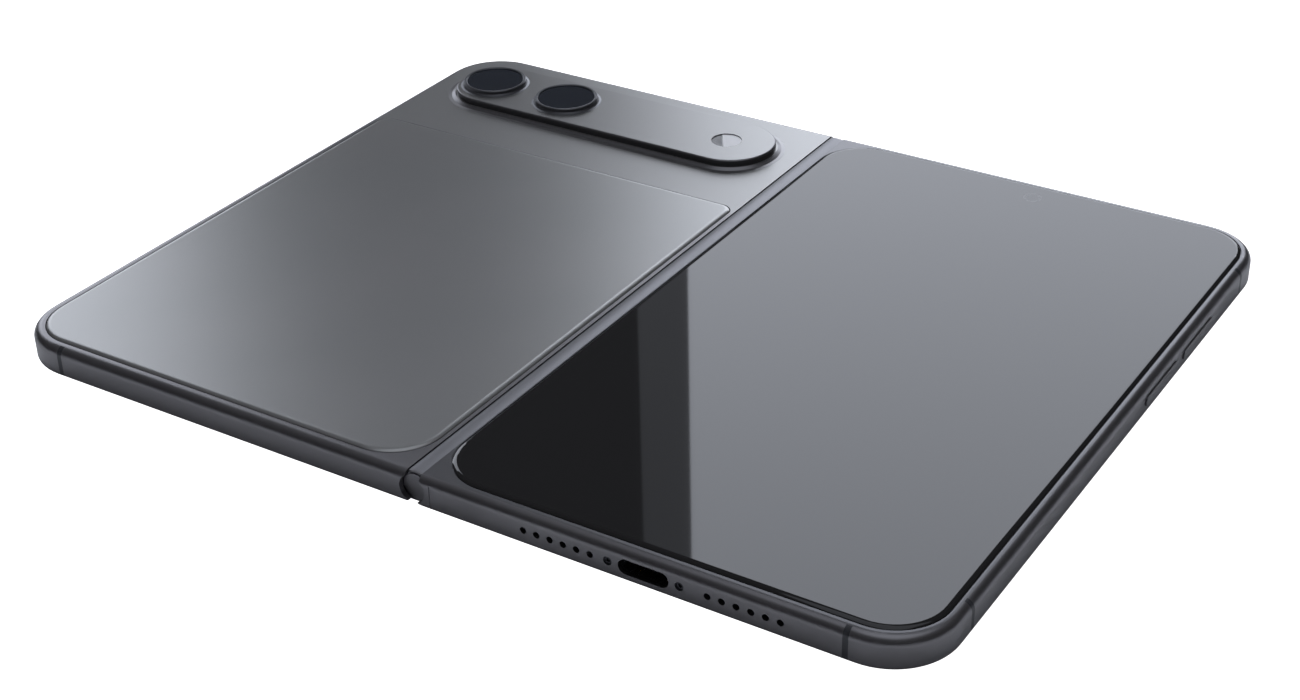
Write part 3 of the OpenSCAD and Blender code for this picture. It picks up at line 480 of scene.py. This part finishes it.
for side, half in ((-1, "camera_half"), (1, "cover_half")):
    label = half.split("_")[0]
    screenSheet = foldSheet(label + "FoldSheet", side, screenFold, innerScreen)
    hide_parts("display_fold")
    for place, strip in borderFolds.items():
        foldSheet(label + "FoldBorder_" + place, side, strip, borderRubber)
print("folding strip made")


# the port's tongue and the phone's near edge as the frame has them, and the pads' sizes, in millimetres
tongueLow, tongueHigh = (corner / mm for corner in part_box("usb_tongue"))
port = {"x": (tongueLow.x + tongueHigh.x) / 2, "z": (tongueLow.z + tongueHigh.z) / 2, "tip": tongueLow.y,
        "halfTongue": (tongueHigh.z - tongueLow.z) / 2, "edge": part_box("cover_frame")[0].y / mm}
pad = {"count": 12, "pitch": 0.5, "width": 0.25, "length": 3.2, "thickness": 0.03, "lift": 0.01, "start": 0.6,
       "shorter": (0, 3, 8, 11), "shorterBy": 0.5, "bevel": 0.008}


# gold contact pads on both faces of the tongue
def contactPads():
    bm = bmesh.new()
    for side in (-1, 1):
        for k in range(pad["count"]):
            x = port["x"] + (k - (pad["count"] - 1) / 2) * pad["pitch"]
            length = pad["length"] - (pad["shorterBy"] if k in pad["shorter"] else 0)
            y = port["tip"] + pad["start"] + length / 2
            z = port["z"] + side * (port["halfTongue"] + pad["lift"])
            size = Matrix.Diagonal((pad["width"] * mm, length * mm, pad["thickness"] * mm, 1))
            made = bmesh.ops.create_cube(bm, size=1, matrix=Matrix.Translation(Vector((x, y, z)) * mm) @ size)
            edges = list({e for v in made["verts"] for e in v.link_edges})
            bmesh.ops.bevel(bm, geom=edges, offset=pad["bevel"] * mm, segments=1, affect="EDGES")
    newPiece("portContacts", bm, contactGold, "cover_half")


contactPads()


# the two groups of round holes beside the port, in millimetres from the port's middle and the phone's edge
grille = {"holes": 6, "pitch": 2.29, "radius": 0.53, "left": -14.6, "right": 16.1, "depth": 1.1,
          "thickness": 0.1, "corners": 24, "wireMm": 0.12}


# woven acoustic mesh, black, its wires drawn at 0.12 mm
def acousticMesh():
    look = {"wire": "#2a2a2e", "gap": "#0a0a0b", "metallic": 0.6, "roughness": 0.5, "depthMm": 0.03}
    material, tree, shader = newMaterial("wovenAcousticMesh", look["wire"], Metallic=look["metallic"],
                                         Roughness=look["roughness"])
    checker = addNode(tree, "ShaderNodeTexChecker", {"Vector": position(tree),
                                                     "Scale": 1 / (grille["wireMm"] * mm),
                                                     "Color1": linear(look["wire"]),
                                                     "Color2": linear(look["gap"])})
    tree.links.new(checker.outputs[0], shader.inputs["Base Color"])
    bump = addNode(tree, "ShaderNodeBump", {"Height": checker.outputs[1], "Distance": look["depthMm"] * mm})
    tree.links.new(bump.outputs[0], shader.inputs["Normal"])
    return material


# one round patch of mesh in each round hole
def meshPatches():
    bm = bmesh.new()
    y = port["edge"] + grille["depth"] + grille["thickness"] / 2
    radius = grille["radius"] * mm
    turn = Matrix.Rotation(math.radians(90), 4, "X")
    for group in (grille["left"], grille["right"]):
        for k in range(grille["holes"]):
            x = port["x"] + group + (k - (grille["holes"] - 1) / 2) * grille["pitch"]
            place = Matrix.Translation(Vector((x, y, port["z"])) * mm) @ turn
            bmesh.ops.create_cone(bm, cap_ends=True, segments=grille["corners"], radius1=radius, radius2=radius,
                                  depth=grille["thickness"] * mm, matrix=place)
    newPiece("speakerMesh", bm, acousticMesh(), "cover_half")


meshPatches()
print("port details made")


# heights in millimetres, the other sizes in metres
stage = {"floorZ": -8, "floorSize": 8, "domeRadius": 6, "tableZ": -0.15, "tableSize": 3}


# plain white paper sweep, evenly lit: it shows to the camera and throws no light on the phone
def paperWhite():
    look = {"colour": "#f4f4f4", "roughness": 0.9, "glow": 1.2}
    return newMaterial("whitePaperSweep", look["colour"], Roughness=look["roughness"],
                       Emission_Color=(1, 1, 1, 1), Emission_Strength=look["glow"])[0]


def stageObject(name, bm, material):
    mesh = bpy.data.meshes.new(name)
    bm.to_mesh(mesh)
    bm.free()
    mesh.materials.append(material)
    thing = bpy.data.objects.new(name, mesh)
    bpy.context.scene.collection.objects.link(thing)
    return thing


def flatSheet(name, size, z, material):
    bm = bmesh.new()
    bmesh.ops.create_grid(bm, x_segments=1, y_segments=1, size=size / 2,
                          matrix=Matrix.Translation((0, 0, z * mm)))
    return stageObject(name, bm, material)


def makeStage():
    paper = paperWhite()
    floor = flatSheet("floor", stage["floorSize"], stage["floorZ"], paper)
    dome = bmesh.new()
    bmesh.ops.create_uvsphere(dome, u_segments=48, v_segments=24, radius=stage["domeRadius"])
    backdrop = stageObject("backdrop", dome, paper)
    for thing in (floor, backdrop):
        thing.visible_diffuse = False
        thing.visible_glossy = False
        thing.visible_transmission = False
        thing.visible_shadow = False


# matt white table under the phone, lit by a lamp of its own as well: it shows in the phone's surfaces alone
def makeTable():
    look = {"colour": "#e8e8e8", "roughness": 0.9}
    matt = newMaterial("mattWhiteTable", look["colour"], Roughness=look["roughness"])[0]
    table = flatSheet("table", stage["tableSize"], stage["tableZ"], matt)
    table.visible_camera = False
    table.visible_shadow = False
    return table


makeStage()
table = makeTable()


# cards of light stand behind the phone as the camera sees it, at one distance along the heading; across and up
# are in metres from the frame's origin
studio = {
    "heading": Vector((-0.54155, 0.84067, 0)),
    "distance": 1.5,
    "rightCard": {"across": (0.037, 0.95), "up": (0.15, 1.3), "radiance": 3.0},
    "edgeCard": {"across": (-0.012, 0.037), "up": (0.15, 1.3), "radiance": 0.3},
    "leftCard": {"across": (-1.2, -0.46), "up": (0.15, 1.3), "radiance": 2.4},
    "topCard": {"size": 1.4, "place": (0.1, 0, 1.6), "radiance": 0.7},
    "tableLight": {"lift": 50, "size": 0.45, "radiance": 16},
    "tint": "#ecf1fc",
}


# a rectangular light; its energy follows from how bright it looks
def areaLight(name, place, aim, width, height, radiance):
    light = bpy.data.lights.new(name, "AREA")
    light.shape = "RECTANGLE"
    light.size = width
    light.size_y = height
    light.energy = radiance * width * height * math.pi
    light.color = linear(studio["tint"])[:3]
    thing = bpy.data.objects.new(name, light)
    thing.location = place
    thing.rotation_euler = (Vector(place) - Vector(aim)).to_track_quat("Z", "Y").to_euler()
    thing.visible_camera = False
    bpy.context.scene.collection.objects.link(thing)
    return thing


def makeLights():
    heading = studio["heading"]
    across = Vector((heading.y, -heading.x, 0))
    for name in ("rightCard", "edgeCard", "leftCard"):
        card = studio[name]
        (left, right), (low, high) = card["across"], card["up"]
        middle = heading * studio["distance"] + across * (left + right) / 2 + Vector((0, 0, (low + high) / 2))
        areaLight(name, middle, middle - heading, right - left, high - low, card["radiance"])
    top = studio["topCard"]
    below = (*top["place"][:2], 0)
    areaLight("topCard", top["place"], below, top["size"], top["size"], top["radiance"])
    # a lamp behind the phone that lights the table alone, so that the phone's shadow shows in its near wall
    lamp = studio["tableLight"]
    lift = math.radians(lamp["lift"])
    place = (heading * math.cos(lift) + Vector((0, 0, math.sin(lift)))) * studio["distance"]
    light = areaLight("tableLight", place, (0, 0, 0), lamp["size"], lamp["size"], lamp["radiance"])
    lit = bpy.data.collections.new("litByTableLight")
    lit.objects.link(table)
    light.light_linking.receiver_collection = lit


makeLights()


# dim room: dark below and near the horizon, so that the metal edges keep their dark bands, with a glow between
def makeRoom():
    room = {"below": "#1c1c1e", "floorGlow": "#b4b4ba", "horizon": "#3a3a3d", "above": "#6a6a6e",
            "glowSpan": (0.2, 0.32), "horizonSpan": (0.45, 0.6)}
    world = bpy.data.worlds.new("room")
    bpy.context.scene.world = world
    world.use_nodes = True
    tree = world.node_tree
    tree.nodes.clear()
    where = addNode(tree, "ShaderNodeTexCoord")
    split = addNode(tree, "ShaderNodeSeparateXYZ", {"Vector": where.outputs["Generated"]})
    level = addNode(tree, "ShaderNodeMapRange", {"Value": split.outputs["Z"], "From Min": -1, "From Max": 1})
    ramp = addNode(tree, "ShaderNodeValToRGB", {"Fac": level.outputs[0]})
    stops = ramp.color_ramp.elements
    stops[0].color = linear(room["below"])
    stops[1].color = linear(room["above"])
    for span, colour in (("glowSpan", "floorGlow"), ("horizonSpan", "horizon")):
        for place in room[span]:
            stops.new(place).color = linear(room[colour])
    light = addNode(tree, "ShaderNodeBackground", {"Color": ramp.outputs[0], "Strength": 1.0})
    addNode(tree, "ShaderNodeOutputWorld", {"Surface": light.outputs[0]})


makeRoom()
print("light and stage made")


# camera, as fitted to the photograph, in millimetres
lens = {"place": (174.078, -271.849, 183.382), "focalMm": 60.205, "sensorMm": 36,
        "right": (0.84689476, 0.53137909, -0.02013753), "up": (-0.25612294, 0.4408025, 0.86028728),
        "back": (0.46601535, -0.72341511, 0.5094117), "clipMetres": (0.01, 50)}
camera = bpy.data.objects.new("camera", bpy.data.cameras.new("camera"))
camera.data.lens = lens["focalMm"]
camera.data.sensor_width = lens["sensorMm"]
camera.data.sensor_fit = "HORIZONTAL"
camera.data.clip_start, camera.data.clip_end = lens["clipMetres"]
turned = Matrix((lens["right"], lens["up"], lens["back"])).transposed().to_4x4()
camera.matrix_world = Matrix.Translation(Vector(lens["place"]) * mm) @ turned
bpy.context.scene.collection.objects.link(camera)
bpy.context.scene.camera = camera
bpy.context.scene.view_settings.view_transform = "Standard"
bpy.context.scene.view_settings.look = "None"
print("camera set")
